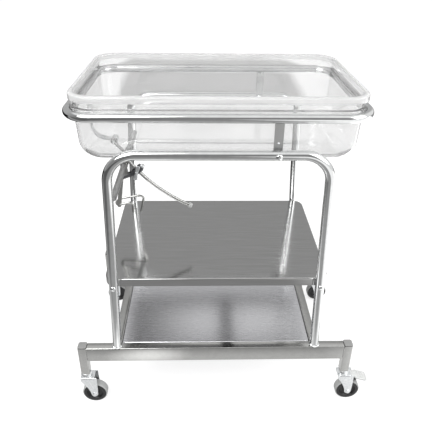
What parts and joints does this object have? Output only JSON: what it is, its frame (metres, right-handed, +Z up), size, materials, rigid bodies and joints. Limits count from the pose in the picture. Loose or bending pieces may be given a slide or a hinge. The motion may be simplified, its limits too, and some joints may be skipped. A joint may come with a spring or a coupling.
{
  "type": "hospital_bassinet",
  "caption": "Hospital bassinet: a clear acrylic tub in a tilting tube ring, on a polished stainless trolley with two shelves and swivel casters.",
  "frame": {"origin": "On the floor, under the middle of the whole object's box.", "axes": "+X along the cot to the right as seen from the front, +Y to the back, +Z up."},
  "size_m": [0.867, 0.5016, 0.959],
  "materials": {
    "polished_stainless": "polished stainless tube and bar",
    "stainless_sheet": "bright annealed stainless sheet",
    "clear_acrylic": "clear moulded acrylic",
    "zinc_plate": "bright zinc plate",
    "black_casting": "satin black casting",
    "grey_moulding": "light grey moulded plastic",
    "black_moulding": "black moulded wheel core",
    "grey_tyre": "grey non-marking rubber"
  },
  "bodies": {
    "trolley": {"front_leg_hoop": "polished_stainless", "rear_leg_hoop": "polished_stainless", "left_cross_bar": "polished_stainless", "front_base_beam": "polished_stainless", "rear_base_beam": "polished_stainless", "base_side_rail_left": "polished_stainless", "base_side_rail_right": "polished_stainless", "post_front_left": "polished_stainless", "post_front_right": "polished_stainless", "post_rear_left": "polished_stainless", "post_rear_right": "polished_stainless", "post_cap_front_left": "grey_moulding", "post_cap_front_right": "grey_moulding", "post_cap_rear_left": "grey_moulding", "post_cap_rear_right": "grey_moulding", "upper_shelf": "stainless_sheet", "lower_shelf": "stainless_sheet", "shelf_bolt_front_left": "polished_stainless", "shelf_bolt_front_right": "polished_stainless", "shelf_bolt_rear_left": "polished_stainless", "shelf_bolt_rear_right": "polished_stainless", "pivot_bolt_front": "polished_stainless", "pivot_bolt_rear": "polished_stainless", "stay_clamp": "black_casting", "lever_pin": "zinc_plate", "caster_stem_front_left": "zinc_plate", "caster_stem_front_right": "zinc_plate", "caster_stem_rear_left": "zinc_plate", "caster_stem_rear_right": "zinc_plate"},
    "cradle": {"support_ring": "polished_stainless", "pivot_strap_front": "polished_stainless", "pivot_strap_rear": "polished_stainless", "stay_hanger": "polished_stainless", "stay_pin": "zinc_plate"},
    "tub": {"tub": "clear_acrylic"},
    "stay": {"stay_rod": "polished_stainless", "stay_rod_tip": "grey_moulding"},
    "clamp_screw": {"clamp_wing_screw": "zinc_plate"},
    "release_lever": {"release_lever": "polished_stainless"},
    "fork_front_left": {"caster_fork_front_left": "zinc_plate", "caster_axle_front_left": "zinc_plate"},
    "wheel_front_left": {"wheel_core_front_left": "black_moulding", "tyre_front_left": "grey_tyre"},
    "fork_front_right": {"caster_fork_front_right": "zinc_plate", "caster_axle_front_right": "zinc_plate"},
    "wheel_front_right": {"wheel_core_front_right": "black_moulding", "tyre_front_right": "grey_tyre"},
    "brake_front_right": {"brake_pedal_front_right": "grey_moulding"},
    "fork_rear_left": {"caster_fork_rear_left": "zinc_plate", "caster_axle_rear_left": "zinc_plate"},
    "wheel_rear_left": {"wheel_core_rear_left": "black_moulding", "tyre_rear_left": "grey_tyre"},
    "brake_rear_left": {"brake_pedal_rear_left": "grey_moulding"},
    "fork_rear_right": {"caster_fork_rear_right": "zinc_plate", "caster_axle_rear_right": "zinc_plate"},
    "wheel_rear_right": {"wheel_core_rear_right": "black_moulding", "tyre_rear_right": "grey_tyre"}
  },
  "joints": [
    {"name": "tub_tilt", "type": "hinge", "parent": "trolley", "child": "cradle", "pos_m": [0.10877, 0, 0.825], "axis": [0, 1, 0], "range_deg": [0, 12]},
    {"name": "tub_lift", "type": "slide", "parent": "cradle", "child": "tub", "axis": [0, 0, 1], "range_m": [0, 0.25]},
    {"name": "stay_swing", "type": "hinge", "parent": "cradle", "child": "stay", "pos_m": [-0.31123, -0.02, 0.7725], "axis": [0, 1, 0], "range_deg": [0, 9]},
    {"name": "screw_turn", "type": "hinge", "parent": "trolley", "child": "clamp_screw", "pos_m": [-0.25342, -0.036, 0.68484], "axis": [0, 1, 0], "range_deg": [0, 180]},
    {"name": "lever_pull", "type": "hinge", "parent": "trolley", "child": "release_lever", "pos_m": [-0.30092, -0.01, 0.66152], "axis": [0, -1, 0], "range_deg": [0, 18]},
    {"name": "swivel_front_left", "type": "hinge", "parent": "trolley", "child": "fork_front_left", "pos_m": [-0.41673, -0.23, 0.105], "axis": [0, 0, 1], "continuous": true},
    {"name": "roll_front_left", "type": "hinge", "parent": "fork_front_left", "child": "wheel_front_left", "pos_m": [-0.39673, -0.23, 0.03678], "axis": [0, 1, 0], "continuous": true},
    {"name": "swivel_front_right", "type": "hinge", "parent": "trolley", "child": "fork_front_right", "pos_m": [0.35827, -0.23, 0.105], "axis": [0, 0, 1], "continuous": true},
    {"name": "roll_front_right", "type": "hinge", "parent": "fork_front_right", "child": "wheel_front_right", "pos_m": [0.37827, -0.23, 0.03678], "axis": [0, 1, 0], "continuous": true},
    {"name": "brake_press_front_right", "type": "hinge", "parent": "fork_front_right", "child": "brake_front_right", "pos_m": [0.38327, -0.23, 0.094], "axis": [0, 1, 0], "range_deg": [0, 10]},
    {"name": "swivel_rear_left", "type": "hinge", "parent": "trolley", "child": "fork_rear_left", "pos_m": [-0.41673, 0.23, 0.105], "axis": [0, 0, 1], "continuous": true},
    {"name": "roll_rear_left", "type": "hinge", "parent": "fork_rear_left", "child": "wheel_rear_left", "pos_m": [-0.39673, 0.23, 0.03678], "axis": [0, 1, 0], "continuous": true},
    {"name": "brake_press_rear_left", "type": "hinge", "parent": "fork_rear_left", "child": "brake_rear_left", "pos_m": [-0.39173, 0.23, 0.094], "axis": [0, 1, 0], "range_deg": [0, 10]},
    {"name": "swivel_rear_right", "type": "hinge", "parent": "trolley", "child": "fork_rear_right", "pos_m": [0.35827, 0.23, 0.105], "axis": [0, 0, 1], "continuous": true},
    {"name": "roll_rear_right", "type": "hinge", "parent": "fork_rear_right", "child": "wheel_rear_right", "pos_m": [0.37827, 0.23, 0.03678], "axis": [0, 1, 0], "continuous": true}
  ],
  "couplings": [
    {"joint": "stay_swing", "follows": "tub_tilt", "ratio": 0.73}
  ]
}
